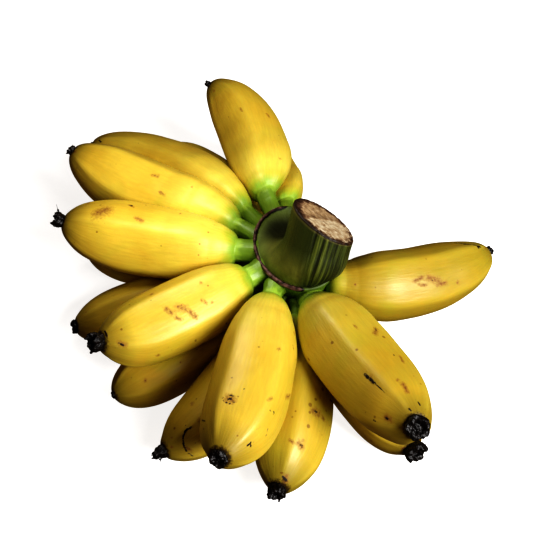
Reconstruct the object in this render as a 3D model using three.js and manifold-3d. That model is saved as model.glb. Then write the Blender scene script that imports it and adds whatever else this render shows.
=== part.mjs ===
// A hand of small dessert bananas: sixteen plump fruits in two rows on one crown, with the stump of the
// bunch's stalk still in it. It lies on the bellies of its lower fruits, with the sawn stalk on top.
// Millimetres, +Z up, the table at z = 0. The open side of the hand is towards +X and +Y.
import * as THREE from 'three';
import { mergeVertices } from 'three/addons/utils/BufferGeometryUtils.js';
import Module from 'manifold-3d';

const wasm = await Module();
wasm.setup();

// Driving dimensions
const BANANA_GIRTH = 34; // diameter of a typical banana at its belly
const STALK_DIAMETER = 30; // the bunch's stalk where it was sawn off
const CLEARANCE = 0.3; // air between a banana and its blossom end
const SOCKET_CLEARANCE = 0.4; // air round a pedicel where it enters the crown
const PRESSED_CLEARANCE = 0.65; // air between bananas that are pressed flat against each other

// The stalk leans back and to the right, and was sawn off at a slant.
const STALK_FOOT = new THREE.Vector3(15, -4, 50); // the point on its axis that is level with the crown
const STALK_LEAN = new THREE.Vector3(0.23, 0.4, 0.89).normalize();
const STALK_LENGTH = 24; // from its foot to the middle of the sawn face
const SAWN_FACE_NORMAL = new THREE.Vector3(0.535, 0.287, 0.793).normalize();
const FLUTES = 12; // shallow grooves along the stalk's fibres
const FLUTE_DEPTH = 0.35;

// The crown is the cushion that the bananas grow from, an oval seen from above. Its rim is the ridge that
// the fallen bract left, and it stands out from the stalk at the back left.
const CROWN_CENTRE = new THREE.Vector3(9.2, 10, 50);
const CROWN_HALF_WIDTH = 19.5;
const CROWN_HALF_DEPTH = 28;
const CROWN_TURN = THREE.MathUtils.degToRad(18); // its long way points to the back left
const CROWN_TILT = 0.06; // it rises a little towards the back
const CROWN_SIDE = [[0.76, 18], [0.84, 8], [0.95, 2.2], [1, 0.9], [0.985, -0.4]]; // share of the rim, depth
const PAD_EDGE = [0.94, 0.4]; // where the rim ridge ends and the smooth top begins, as share and depth
const PAD_RINGS = 7; // rings from there up to the stalk's straight part
const STALK_FLARE = 1.5; // how much thicker the stalk is at its foot
const STALK_STRAIGHT = 13; // height above its foot where it is straight
const CROWN_SEGMENTS = 36;

// The hand was cut from the one below it here.
const UNDERSIDE_CENTRE = new THREE.Vector3(9, 4, 13);
const UNDERSIDE_RADIUS = 12;
const WAIST = { share: 0.78, depth: 20, blend: 0.55 }; // between the underside and the lower row

// Where the two rows of pedicels leave the crown: depth below the rim, how far out as a share of it, and
// the slope at which they start.
const ROWS = {
  upper: { depth: 6.9, reach: 0.95, slope: 0.08 },
  lower: { depth: 18, reach: 0.8, slope: -0.5 },
};
const ROOT_SUNK = 7; // the part of a pedicel that is inside the crown

// One entry for each banana, round the crown from the back. Two low ones still grow from the upper row.
// root is the bearing of its foot, in degrees from +X. tip is the middle of its blossom scar. curl and
// swing are how far its end turns up, and to the left, of the straight line from foot to tip, in degrees.
// girth scales the typical banana. ridge turns its ridges about its own length, in degrees. scar is the
// diameter of its blossom scar. neck is left out for a typical pedicel, and above 1 where it is shorter.
const BANANAS = [
  {
    name: 'back_lower', row: 'upper', root: 101, tip: [-17, 123, 24],
    curl: 28, swing: 10, girth: 0.96, ridge: 20, scar: 6.5,
  },
  {
    name: 'back_upper', row: 'upper', root: 114, tip: [-37, 126, 56],
    curl: 26, swing: 50, girth: 1.02, ridge: 0, scar: 4.5,
  },
  {
    name: 'back_left_lower', row: 'lower', root: 116, tip: [-67, 113, 20],
    curl: 22, swing: 24, girth: 1, ridge: 40, scar: 6.5,
  },
  {
    name: 'left_back_lower', row: 'upper', root: 140, tip: [-100, 106, 27],
    curl: 20, swing: 31, girth: 1.04, ridge: 10, scar: 6.5,
  },
  {
    name: 'left_back_upper', row: 'upper', root: 160, tip: [-105, 72, 55],
    curl: 32, swing: 14, girth: 1.06, ridge: 30, scar: 5.5,
  },
  {
    name: 'left_lower', row: 'lower', root: 156, tip: [-99, 38, 17],
    curl: 22, swing: 10, girth: 0.98, ridge: 50, scar: 6.5,
  },
  {
    name: 'left_upper', row: 'upper', root: 182, tip: [-101, 25, 51],
    curl: 20, swing: 5, girth: 1.06, ridge: 0, scar: 6,
  },
  {
    name: 'left_front_lower', row: 'lower', root: 183, tip: [-97, -11, 16],
    curl: 22, swing: 10, girth: 0.95, ridge: 15, scar: 7,
  },
  {
    name: 'left_front_upper', row: 'upper', root: 206, tip: [-75, -41, 46],
    curl: 26, swing: 0, girth: 1, ridge: 25, scar: 8,
  },
  {
    name: 'front_left_lower', row: 'lower', root: 208, tip: [-74, -48, 14],
    curl: 18, swing: 0, girth: 0.95, ridge: 35, scar: 4.5,
  },
  {
    name: 'front_low_left', row: 'lower', root: 240, tip: [-48, -75, 14],
    curl: 22, swing: -20, girth: 0.93, ridge: 5, scar: 7,
  },
  {
    name: 'front_upper', row: 'upper', root: 230, tip: [-21, -95, 49],
    curl: 22, swing: -12, girth: 1.03, ridge: 45, scar: 8,
  },
  {
    name: 'front_lower', row: 'lower', root: 266, tip: [1, -91, 16],
    curl: 22, swing: -10, girth: 1.02, ridge: 0, scar: 8.5,
  },
  {
    name: 'front_right_upper', row: 'upper', root: 282, tip: [52, -85, 56],
    curl: 34, swing: -16, girth: 1.04, ridge: 30, scar: 9, neck: 1.3,
  },
  {
    name: 'front_right_lower', row: 'lower', root: 294, tip: [60, -74, 15],
    curl: 22, swing: -5, girth: 0.96, ridge: 10, scar: 9,
  },
  {
    name: 'right_upper', row: 'upper', root: 324, tip: [103, 22, 34],
    curl: 15, swing: 16, girth: 1, ridge: 20, scar: 5, neck: 1.35,
  },
];

// Half the thickness of a banana along its length, as a share of its thickest: the pedicel, the blunt
// shoulder, the belly and the end. The blossom scar itself is added at 1.
const BANANA_PROFILE = [
  [0, 0.29], [0.08, 0.265], [0.13, 0.275], [0.165, 0.4], [0.2, 0.6], [0.26, 0.82], [0.36, 0.955],
  [0.48, 1], [0.62, 1], [0.73, 0.965], [0.82, 0.88], [0.89, 0.73], [0.94, 0.55], [0.98, 0.36],
];
const BANANA_SIDES = 20; // four to each of its five faces
const BANANA_FACES = 5;
const FLATTENING = 0.34; // how far the faces between the ridges are flattened
const PEDICEL_LEAD = 0.26; // how far the pedicel's direction carries, as a share of the length
const TIP_LEAD = 0.36; // and the tip's
const PRESS_STEPS = 60; // steps along a banana's middle line when its neighbours feel for it
const PRESS_HALVINGS = 14;

// The dried flower at a banana's end: shares of its length and of the scar's radius.
const BLOSSOM_PROFILE = [[0, 0.86], [0.3, 1.06], [0.65, 0.98], [1, 0.62]];
const BLOSSOM_SIDES = 10;
const BLOSSOM_LENGTH = 0.62; // its length as a share of the scar's diameter
const BLOSSOM_HOLLOW = 0.72; // how far out the middle of its hollow end reaches, as a share of its length
const BLOSSOM_CRUMPLE = 0.22;

const PEEL = { color: 0xe8bd22, roughness: 0.42 };
const DRIED_FLOWER = { color: 0x1d1611, roughness: 0.9 };
const GREEN_STALK = { color: 0x4f7a23, roughness: 0.6 };

const UP = new THREE.Vector3(0, 0, 1);

// A closed geometry with its shared vertices merged, as a solid.
function solid(geometry) {
  const bare = geometry.clone();
  bare.deleteAttribute('normal');
  bare.deleteAttribute('uv');
  const merged = mergeVertices(bare, 1e-3);
  return new wasm.Manifold(new wasm.Mesh({
    numProp: 3,
    vertProperties: merged.attributes.position.array,
    triVerts: new Uint32Array(merged.index.array),
  }));
}

function geometryOf(manifold) {
  const { vertProperties, triVerts } = manifold.getMesh();
  const geometry = new THREE.BufferGeometry();
  geometry.setAttribute('position', new THREE.BufferAttribute(vertProperties, 3));
  geometry.setIndex(new THREE.BufferAttribute(triVerts, 1));
  geometry.computeVertexNormals();
  return geometry;
}

// A lathe form with flat ends, whose every point is then moved by place(height, radius, turn). The middle
// of each end has radius 0.
function loft(profile, sides, place) {
  const outline = profile.map(([height, radius]) => new THREE.Vector2(radius, height));
  outline.unshift(new THREE.Vector2(0, profile[0][0]));
  outline.push(new THREE.Vector2(0, profile.at(-1)[0]));
  const geometry = new THREE.LatheGeometry(outline, sides);
  const at = geometry.attributes.position;
  for (let i = 0; i < at.count; i++) {
    const radius = Math.hypot(at.getX(i), at.getZ(i));
    const turn = Math.atan2(at.getX(i), at.getZ(i));
    const p = place(at.getY(i), radius, turn);
    at.setXYZ(i, p.x, p.y, p.z);
  }
  return geometry;
}

// The point of the crown's side in direction turn, at a share of the rim and a depth below it.
function crownSide(turn, share, depth) {
  const p = new THREE.Vector3(
    CROWN_HALF_WIDTH * share * Math.cos(turn - CROWN_TURN),
    CROWN_HALF_DEPTH * share * Math.sin(turn - CROWN_TURN),
    -depth,
  ).applyAxisAngle(UP, CROWN_TURN);
  p.z += CROWN_TILT * p.y;
  return p.add(CROWN_CENTRE);
}

// The middle line of a banana: out of the crown along its pedicel, which already leans towards the tip,
// and round to the tip.
function middleLine({ row, root, tip, curl, swing }) {
  const { depth, reach, slope } = ROWS[row];
  const turn = THREE.MathUtils.degToRad(root);
  const edge = crownSide(turn, reach, depth);
  const end = new THREE.Vector3(...tip);
  const outwards = edge.clone().sub(crownSide(turn, 0, depth)).setZ(0).normalize();
  const towards = end.clone().sub(edge).setZ(0).normalize();
  const out = outwards.add(towards).normalize().setZ(slope).normalize();
  const start = edge.clone().addScaledVector(out, -ROOT_SUNK);
  const chord = end.clone().sub(start);
  const length = chord.length();
  const side = chord.clone().cross(UP).normalize();
  const into = chord.normalize()
    .applyAxisAngle(side, THREE.MathUtils.degToRad(curl))
    .applyAxisAngle(UP, THREE.MathUtils.degToRad(swing));
  return new THREE.CubicBezierCurve3(
    start,
    start.clone().addScaledVector(out, PEDICEL_LEAD * length),
    end.clone().addScaledVector(into, -TIP_LEAD * length),
    end,
  );
}

// The middle line's point at a share of its length, and the two directions across it. One of them stays
// level, so the ridges don't twist.
function frameAt(line, along) {
  const point = line.getPointAt(along);
  const tangent = line.getTangentAt(along);
  const level = tangent.clone().cross(UP).normalize();
  const below = tangent.clone().cross(level).normalize();
  return { point, tangent, level, below };
}

function around({ level, below }, angle) {
  return level.clone().multiplyScalar(Math.cos(angle)).addScaledVector(below, Math.sin(angle));
}

// A banana's own profile, whose shoulder is nearer the crown where the pedicel is short.
function profileOf({ neck = 1 }) {
  return BANANA_PROFILE.map(([along, share]) => [along ** neck, share]);
}

// A banana's share of thickness at any place along it.
function profileShare(profile, along) {
  if (along > profile.at(-1)[0]) return profile.at(-1)[1];
  const next = Math.max(1, profile.findIndex(([end]) => end >= along));
  const [a0, share0] = profile[next - 1];
  const [a1, share1] = profile[next];
  return THREE.MathUtils.mapLinear(along, a0, a1, share0, share1);
}

for (const banana of BANANAS) {
  banana.half = (BANANA_GIRTH / 2) * banana.girth;
  banana.line = middleLine(banana);
  banana.profile = profileOf(banana);
  banana.steps = Array.from({ length: PRESS_STEPS + 1 }, (_, i) => ({
    at: banana.line.getPointAt(i / PRESS_STEPS),
    half: banana.half * profileShare(banana.profile, i / PRESS_STEPS),
  }));
}

// How far a point is outside a banana's round form, negative inside it.
function outside(banana, point) {
  return Math.min(...banana.steps.map(({ at, half }) => point.distanceTo(at) - half));
}

// Bananas that grow against each other are flat where they meet. This is how far one reaches from its
// middle in a direction before it is deeper in a neighbour than in itself.
function pressedRadius(banana, middle, direction, half, radius) {
  const near = BANANAS.filter((other) => other !== banana && outside(other, middle) < radius + CLEARANCE);
  const isFree = (r) => {
    const p = middle.clone().addScaledVector(direction, r);
    return near.every((other) => r - half <= outside(other, p) - PRESSED_CLEARANCE);
  };
  if (isFree(radius)) return radius;
  let free = 0;
  let blocked = radius;
  for (let i = 0; i < PRESS_HALVINGS; i++) {
    const middleRadius = (free + blocked) / 2;
    if (isFree(middleRadius)) free = middleRadius;
    else blocked = middleRadius;
  }
  return free;
}

// A banana is a round form, flattened between its ridges, bent along its middle line, and pressed by its
// neighbours and by the table. grow makes it thicker and longer at the root, for its socket in the crown.
function bananaForm(banana, grow = 0) {
  const { half, line, profile, scar } = banana;
  const face = (2 * Math.PI) / BANANA_FACES;
  const ridge = THREE.MathUtils.degToRad(banana.ridge);
  return loft([...profile, [1, scar / 2 / half]], BANANA_SIDES, (along, share, turn) => {
    const frame = frameAt(line, along);
    const p = frame.point.clone();
    if (share > 0) {
      const round = half * profileShare(profile, along);
      const fromFace = turn - face * Math.round(turn / face);
      const flat = FLATTENING * THREE.MathUtils.smoothstep(share, 0.3, 0.9);
      const faceted = half * share * (1 - flat + (flat * Math.cos(face / 2)) / Math.cos(fromFace));
      const direction = around(frame, turn + ridge);
      p.addScaledVector(direction, pressedRadius(banana, frame.point, direction, round, faceted) + grow);
    }
    if (along === 0) p.addScaledVector(frame.tangent, -grow);
    p.z = Math.max(p.z, 0);
    return p;
  });
}

// The stalk's surface, fluted along its fibres.
const stalkSide = new THREE.Vector3(1, 0, 0).projectOnPlane(STALK_LEAN).normalize();
const stalkBack = STALK_LEAN.clone().cross(stalkSide);
function stalkPoint(turn, radius, height) {
  const fluted = radius + FLUTE_DEPTH * Math.cos(FLUTES * turn);
  return STALK_FOOT.clone()
    .addScaledVector(STALK_LEAN, height)
    .addScaledVector(stalkSide, fluted * Math.cos(turn))
    .addScaledVector(stalkBack, fluted * Math.sin(turn));
}

function undersidePoint(turn) {
  const out = new THREE.Vector3(UNDERSIDE_RADIUS, 0, 0).applyAxisAngle(UP, turn);
  return out.add(UNDERSIDE_CENTRE);
}

// The smooth top of the crown sweeps up into the stalk: f goes from the rim ridge to the straight part.
function padPoint(turn, f) {
  const edge = crownSide(turn, ...PAD_EDGE);
  const foot = stalkPoint(turn, STALK_DIAMETER / 2 + STALK_FLARE, 1);
  const wall = stalkPoint(turn, STALK_DIAMETER / 2, STALK_STRAIGHT);
  return new THREE.QuadraticBezierCurve3(edge, foot, wall).getPoint(f);
}

// A block that fills everything beyond a plane, for a saw cut.
function beyond(point, normal) {
  const size = 200;
  const block = new THREE.BoxGeometry(size, size, size).translate(0, 0, size / 2);
  block.applyQuaternion(new THREE.Quaternion().setFromUnitVectors(UP, normal));
  return solid(block.translate(point.x, point.y, point.z));
}

// Crown and stalk grew as one: rings from the cut underside up to the rim, in over the pad, and up the
// stalk to the saw cut. Each pedicel has its socket, and what the sockets cut loose is dropped.
function crownSolid() {
  const pastTheCut = STALK_LENGTH + STALK_DIAMETER / 2;
  const rings = [
    undersidePoint,
    (turn) => undersidePoint(turn).lerp(crownSide(turn, WAIST.share, WAIST.depth), WAIST.blend),
    ...CROWN_SIDE.map(([share, depth]) => (turn) => crownSide(turn, share, depth)),
    ...Array.from({ length: PAD_RINGS }, (_, i) => (turn) => padPoint(turn, i / (PAD_RINGS - 1))),
    (turn) => stalkPoint(turn, STALK_DIAMETER / 2, pastTheCut),
  ];
  const ends = [UNDERSIDE_CENTRE, STALK_FOOT.clone().addScaledVector(STALK_LEAN, pastTheCut)];
  const form = loft(rings.map((_, i) => [i, 1]), CROWN_SEGMENTS, (level, radius, turn) => {
    if (radius === 0) return level === 0 ? ends[0] : ends[1];
    return rings[level](turn);
  });
  const cutMiddle = STALK_FOOT.clone().addScaledVector(STALK_LEAN, STALK_LENGTH);
  let crown = solid(form).subtract(beyond(cutMiddle, SAWN_FACE_NORMAL));
  for (const banana of BANANAS) crown = crown.subtract(solid(bananaForm(banana, SOCKET_CLEARANCE)));
  return crown.decompose().sort((a, b) => b.volume() - a.volume())[0];
}

// A number between -1 and 1 that has no pattern to the eye.
function crumple(a, b) {
  return Math.sin(a * 12.9 + b * 78.2) * Math.cos(a * 39.4 - b * 11.1);
}

// What is left of the flower: a short crumpled cup, hollow at its end.
function blossomForm({ line, scar }, index) {
  const frame = frameAt(line, 1);
  const length = scar * BLOSSOM_LENGTH;
  return loft(BLOSSOM_PROFILE, BLOSSOM_SIDES, (along, share, turn) => {
    const rough = along * BLOSSOM_CRUMPLE;
    const radius = (scar / 2) * share * (1 + rough * crumple(turn + index, along + 1));
    const reach = share > 0 ? 1 + rough * crumple(turn * 1.7, index + along) : BLOSSOM_HOLLOW;
    return frame.point.clone()
      .addScaledVector(frame.tangent, CLEARANCE + length * along * reach)
      .addScaledVector(around(frame, turn), radius);
  });
}

function piece(name, form, look) {
  const mesh = new THREE.Mesh(geometryOf(form), new THREE.MeshStandardMaterial({ ...look, metalness: 0 }));
  mesh.name = name;
  return mesh;
}

const hand = new THREE.Group();
hand.add(piece('crown', crownSolid(), GREEN_STALK));
BANANAS.forEach((banana, index) => {
  hand.add(piece(`banana_${banana.name}`, solid(bananaForm(banana)), PEEL));
  hand.add(piece(`blossom_end_${banana.name}`, solid(blossomForm(banana, index)), DRIED_FLOWER));
});

// The origin is on the table, under the middle of the hand's box.
const middle = new THREE.Box3().setFromObject(hand).getCenter(new THREE.Vector3());
hand.position.set(-middle.x, -middle.y, 0);

export default hand;
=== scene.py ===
# A hand of small dessert bananas: sixteen plump yellow fruits in two rows round a green crown, with the
# sawn stump of the bunch's stalk on top. It lies on a pale surface and is seen from above its front.
import math
import random

import bmesh
import bpy
import numpy as np
from mathutils import Matrix, Vector, noise


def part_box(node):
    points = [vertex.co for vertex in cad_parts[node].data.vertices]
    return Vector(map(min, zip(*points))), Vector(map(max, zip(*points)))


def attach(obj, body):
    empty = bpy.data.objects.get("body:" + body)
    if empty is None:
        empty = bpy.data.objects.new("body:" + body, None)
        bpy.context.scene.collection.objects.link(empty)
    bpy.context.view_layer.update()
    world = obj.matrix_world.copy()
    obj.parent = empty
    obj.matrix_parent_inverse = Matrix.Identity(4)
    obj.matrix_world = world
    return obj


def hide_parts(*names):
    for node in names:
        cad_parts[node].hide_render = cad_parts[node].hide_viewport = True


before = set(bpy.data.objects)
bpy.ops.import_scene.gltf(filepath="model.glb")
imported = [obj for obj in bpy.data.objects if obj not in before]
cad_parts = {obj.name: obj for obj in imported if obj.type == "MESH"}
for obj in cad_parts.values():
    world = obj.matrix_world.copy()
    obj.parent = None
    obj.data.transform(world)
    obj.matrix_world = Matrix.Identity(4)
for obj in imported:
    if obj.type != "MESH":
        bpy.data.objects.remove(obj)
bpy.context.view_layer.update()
MM = 0.001


# The camera looks down on the hand from arm's length, at the photograph's steep angle. It comes first
# because the marks on the peel are placed where the photograph shows them.
PHOTO_SIDE = 554  # pixels
FOCAL_LENGTH = 750  # pixels
SENSOR = 36  # millimetres
AIM = Vector((1.2, -15.9, 40)) * MM
CAMERA_DISTANCE = 350 * MM
CAMERA_ELEVATION = math.radians(50)

sight = Vector((0, math.cos(CAMERA_ELEVATION), -math.sin(CAMERA_ELEVATION)))
camera_right = Vector((1, 0, 0))
camera_up = camera_right.cross(sight)
camera_at = AIM - sight * CAMERA_DISTANCE
camera_data = bpy.data.cameras.new("camera")
camera_data.sensor_width = SENSOR
camera_data.lens = SENSOR * FOCAL_LENGTH / PHOTO_SIDE
camera = bpy.data.objects.new("camera", camera_data)
camera.location = camera_at
camera.rotation_euler = sight.to_track_quat("-Z", "Y").to_euler()
bpy.context.scene.collection.objects.link(camera)
bpy.context.scene.camera = camera


def line_of_sight(pixel):
    """The direction from the camera through a pixel of the photograph."""
    across = (pixel[0] - PHOTO_SIDE / 2) / FOCAL_LENGTH
    rise = (PHOTO_SIDE / 2 - pixel[1]) / FOCAL_LENGTH
    return (sight + camera_right * across + camera_up * rise).normalized()


# Ripe banana peel is a thick waxy skin over soft pulp. It is green where the pedicel swells into the
# fruit, lemon yellow over the shoulder and deeper yellow towards the tip, with soft ridges between five
# faces. Brown freckles, russet patches and dark scratches are where it was rubbed or has aged.
def srgb(hex_value):
    """An sRGB hex colour as the linear colour that a material takes."""
    channels = [(hex_value >> shift & 255) / 255 for shift in (16, 8, 0)]
    return [c / 12.92 if c <= 0.04045 else ((c + 0.055) / 1.055) ** 2.4 for c in channels] + [1]


def add(tree, kind, inputs, stops=(), **settings):
    """Adds a node with its settings and links. Stops are the places and colours of a colour ramp."""
    made = tree.nodes.new("ShaderNode" + kind)
    for name, value in settings.items():
        setattr(made, name, value)
    for name, value in inputs.items():
        if isinstance(value, bpy.types.NodeSocket):
            tree.links.new(value, made.inputs[name])
        else:
            made.inputs[name].default_value = value
    for count, (place, colour) in enumerate(stops):
        ramp = made.color_ramp
        stop = ramp.elements[count] if count < 2 else ramp.elements.new(place)
        stop.position = place
        stop.color = colour
    return made


def new_material(name):
    """A new material, its node tree and the shader in it."""
    material = bpy.data.materials.new(name)
    material.use_nodes = True
    tree = material.node_tree
    return material, tree, tree.nodes["Principled BSDF"]


PEDICEL_GREEN = srgb(0x94AE44)
PEDICEL_DEEP = srgb(0x748E32)
NECK_GREEN = srgb(0xACB03E)
LEMON = srgb(0xD6C45C)
GOLD = srgb(0xD4B94C)
DEEP_GOLD = srgb(0xC89E30)
DULL_GOLD = srgb(0xAA9636)
TIP_OLIVE = srgb(0x8C7A2C)
TIP_STAIN = srgb(0x2C140A)
FRECKLE = srgb(0x6E3A10)
RUSSET = srgb(0xA4682A)
RUSSET_DARK = srgb(0x6A3216)
SCRATCH = srgb(0x24140A)
CLOUD_SIZE = 18.18 * MM  # patches of deeper gold
UNRIPE_SIZE = 29.41 * MM  # patches that are still a little green
SPECK_GAP = 3.03 * MM  # from one place for a freckle to the next
MOTTLE_SIZE = 1.1111 * MM  # the grit of russet patches and of scratches
GRAIN_SIZE = 0.7143 * MM  # the pores of the wax, drawn coarser than they are so that they show
GREEN_STRIPS = (1.4, 1.4, 0.05)  # how fine the green strips are: across the fruit, and per millimetre along
PEEL_FIBRES = (14, 14, 0.12)  # and the fibres under the skin

peel, tree, shader = new_material("ripe_banana_peel")
along, past_neck, to_tip, ridge, russet, scratch, freckled, dull_gold = [
    add(tree, "Attribute", {}, attribute_name=name).outputs["Fac"]
    for name in ("along", "past_neck", "to_tip", "ridge", "russet", "scratch", "freckled", "dull_gold")
]
skin = add(tree, "Attribute", {}, attribute_name="skin").outputs["Vector"]
place = add(tree, "TexCoord", {}).outputs["Object"]

# The colour changes along the fruit, and the green runs further down some strips than others.
length_colour = add(tree, "ValToRGB", {"Fac": along}, stops=(
    (0.0, LEMON), (1.0, GOLD), (0.3, LEMON), (0.55, GOLD),
)).outputs["Color"]
cloud = add(tree, "TexNoise", {"Vector": place, "Scale": 1 / CLOUD_SIZE, "Detail": 4,
                               "Roughness": 0.55}).outputs["Fac"]
# Some fruits turn to a duller, darker gold all over; on right_upper this is painted shade.
dulled = add(tree, "MixRGB", {"Fac": dull_gold, "Color1": length_colour, "Color2": DULL_GOLD}).outputs[0]
cloud_share = add(tree, "MapRange", {"Value": cloud, "From Min": 0.4, "From Max": 0.75,
                                     "To Min": 0, "To Max": 0.5}).outputs[0]
clouded = add(tree, "MixRGB", {"Fac": cloud_share, "Color1": dulled, "Color2": DEEP_GOLD}).outputs[0]
unripe = add(tree, "TexNoise", {"Vector": place, "Scale": 1 / UNRIPE_SIZE, "Detail": 3,
                                "Distortion": 0.6}).outputs["Fac"]
unripe_share = add(tree, "MapRange", {"Value": unripe, "From Min": 0.52, "From Max": 0.78,
                                      "To Min": 0, "To Max": 0.4}).outputs[0]
tinged = add(tree, "MixRGB", {"Fac": unripe_share, "Color1": clouded, "Color2": NECK_GREEN}).outputs[0]
tip_share = add(tree, "MapRange", {"Value": to_tip, "From Min": 11, "From Max": 1.5,
                                   "To Min": 0, "To Max": 0.75}).outputs[0]
tipped = add(tree, "MixRGB", {"Fac": tip_share, "Color1": tinged, "Color2": TIP_OLIVE}).outputs[0]
strips = add(tree, "VectorMath", {0: skin, 1: GREEN_STRIPS}, operation="MULTIPLY").outputs[0]
strip_noise = add(tree, "TexNoise", {"Vector": strips, "Scale": 1.5, "Detail": 3}).outputs["Fac"]
waver = add(tree, "MapRange", {"Value": strip_noise, "From Min": 0.3, "From Max": 0.7,
                               "To Min": -1.0, "To Max": 1.6}).outputs[0]
green_reach = add(tree, "Math", {0: past_neck, 1: waver}, operation="SUBTRACT").outputs[0]
green_share = add(tree, "MapRange", {"Value": green_reach, "From Min": -4, "From Max": 9}).outputs[0]
green_colour = add(tree, "ValToRGB", {"Fac": green_share}, stops=(
    (0.0, PEDICEL_DEEP), (1.0, LEMON), (0.14, PEDICEL_GREEN), (0.3, PEDICEL_GREEN), (0.48, NECK_GREEN),
)).outputs["Color"]
greened_share = add(tree, "MapRange", {"Value": green_share, "From Min": 0.5, "From Max": 1,
                                       "To Min": 1, "To Max": 0}).outputs[0]
greened = add(tree, "MixRGB", {"Fac": greened_share, "Color1": tipped, "Color2": green_colour}).outputs[0]
fibres = add(tree, "VectorMath", {0: skin, 1: PEEL_FIBRES}, operation="MULTIPLY").outputs[0]
fibre_noise = add(tree, "TexNoise", {"Vector": fibres, "Scale": 1, "Detail": 4}).outputs["Fac"]
fibre_shade = add(tree, "MapRange", {"Value": fibre_noise, "From Min": 0.3, "From Max": 0.7,
                                     "To Min": 0.93, "To Max": 1.04}).outputs[0]
fibred = add(tree, "MixRGB", {"Fac": 1, "Color1": greened, "Color2": fibre_shade},
             blend_type="MULTIPLY").outputs[0]
ridge_share = add(tree, "Math", {0: ridge, 1: 0.22}, operation="MULTIPLY").outputs[0]
ridged = add(tree, "MixRGB", {"Fac": ridge_share, "Color1": fibred, "Color2": LEMON}).outputs[0]

# Freckles are round, of mixed sizes, and crowd together on some fruits.
specks = add(tree, "TexVoronoi", {"Vector": place, "Scale": 1 / SPECK_GAP, "Randomness": 1})
speck_size = add(tree, "MapRange", {"Value": specks.outputs["Color"], "From Min": 0.66, "From Max": 0.95,
                                    "To Min": 0, "To Max": 0.42}).outputs[0]
speck_reach = add(tree, "Math", {0: speck_size, 1: freckled}, operation="MULTIPLY").outputs[0]
speck_depth = add(tree, "Math", {0: speck_reach, 1: specks.outputs["Distance"]},
                  operation="SUBTRACT").outputs[0]
speck_mask = add(tree, "MapRange", {"Value": speck_depth, "From Min": -0.04, "From Max": 0.08,
                                    "To Min": 0, "To Max": 0.6}).outputs[0]
speckled = add(tree, "MixRGB", {"Fac": speck_mask, "Color1": ridged, "Color2": FRECKLE}).outputs[0]

# The photographed marks: soft mottled russet patches, and dark scratches with ragged edges.
mottle = add(tree, "TexNoise", {"Vector": place, "Scale": 1 / MOTTLE_SIZE, "Detail": 5,
                                "Roughness": 0.7}).outputs["Fac"]
russet_field = add(tree, "Math", {0: mottle, 1: russet}, operation="ADD").outputs[0]
russet_mask = add(tree, "MapRange", {"Value": russet_field, "From Min": 0.78, "From Max": 1.3,
                                     "To Min": 0, "To Max": 0.85}).outputs[0]
russet_colour = add(tree, "MixRGB", {"Fac": russet_mask, "Color1": RUSSET, "Color2": RUSSET_DARK}).outputs[0]
stained = add(tree, "MixRGB", {"Fac": russet_mask, "Color1": speckled, "Color2": russet_colour}).outputs[0]
scratch_field = add(tree, "Math", {0: mottle, 1: scratch}, operation="ADD").outputs[0]
scratch_mask = add(tree, "MapRange", {"Value": scratch_field, "From Min": 1.08, "From Max": 1.25,
                                      "To Min": 0, "To Max": 1}).outputs[0]
scratched = add(tree, "MixRGB", {"Fac": scratch_mask, "Color1": stained, "Color2": SCRATCH}).outputs[0]
tip_frayed = add(tree, "MapRange", {"Value": mottle, "From Min": 0.3, "From Max": 0.7,
                                    "To Min": -0.7, "To Max": 0.7}).outputs[0]
tip_edge = add(tree, "Math", {0: to_tip, 1: tip_frayed}, operation="SUBTRACT").outputs[0]
tip_stain = add(tree, "MapRange", {"Value": tip_edge, "From Min": 0, "From Max": 1.1,
                                   "To Min": 0.9, "To Max": 0}).outputs[0]
peel_colour = add(tree, "MixRGB", {"Fac": tip_stain, "Color1": scratched, "Color2": TIP_STAIN}).outputs[0]
tree.links.new(peel_colour, shader.inputs["Base Color"])

# The wax is glossy, but duller on russet, and the fibres and the pores under it break its highlights.
grain = add(tree, "TexNoise", {"Vector": place, "Scale": 1 / GRAIN_SIZE, "Detail": 3}).outputs["Fac"]
grain_bump = add(tree, "Bump", {"Height": grain, "Strength": 0.08, "Distance": 0.4 * MM}).outputs[0]
fibre_bump = add(tree, "Bump", {"Height": fibre_noise, "Strength": 0.2, "Distance": 0.6 * MM,
                                "Normal": grain_bump}).outputs[0]
mark_bump = add(tree, "Bump", {"Height": scratch_mask, "Strength": 0.5, "Distance": 0.3 * MM,
                               "Normal": fibre_bump}).outputs[0]
tree.links.new(mark_bump, shader.inputs["Normal"])
gloss = add(tree, "MapRange", {"Value": cloud, "From Min": 0.3, "From Max": 0.7,
                               "To Min": 0.38, "To Max": 0.5}).outputs[0]
worn_gloss = add(tree, "MixRGB", {"Fac": russet_mask, "Color1": gloss,
                                  "Color2": (0.75, 0.75, 0.75, 1)}).outputs[0]
tree.links.new(worn_gloss, shader.inputs["Roughness"])
shader.inputs["IOR"].default_value = 1.55
shader.inputs["Subsurface Weight"].default_value = 0.12
shader.inputs["Subsurface Radius"].default_value = (1.0, 0.55, 0.12)
shader.inputs["Subsurface Scale"].default_value = 1.5 * MM


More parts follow.
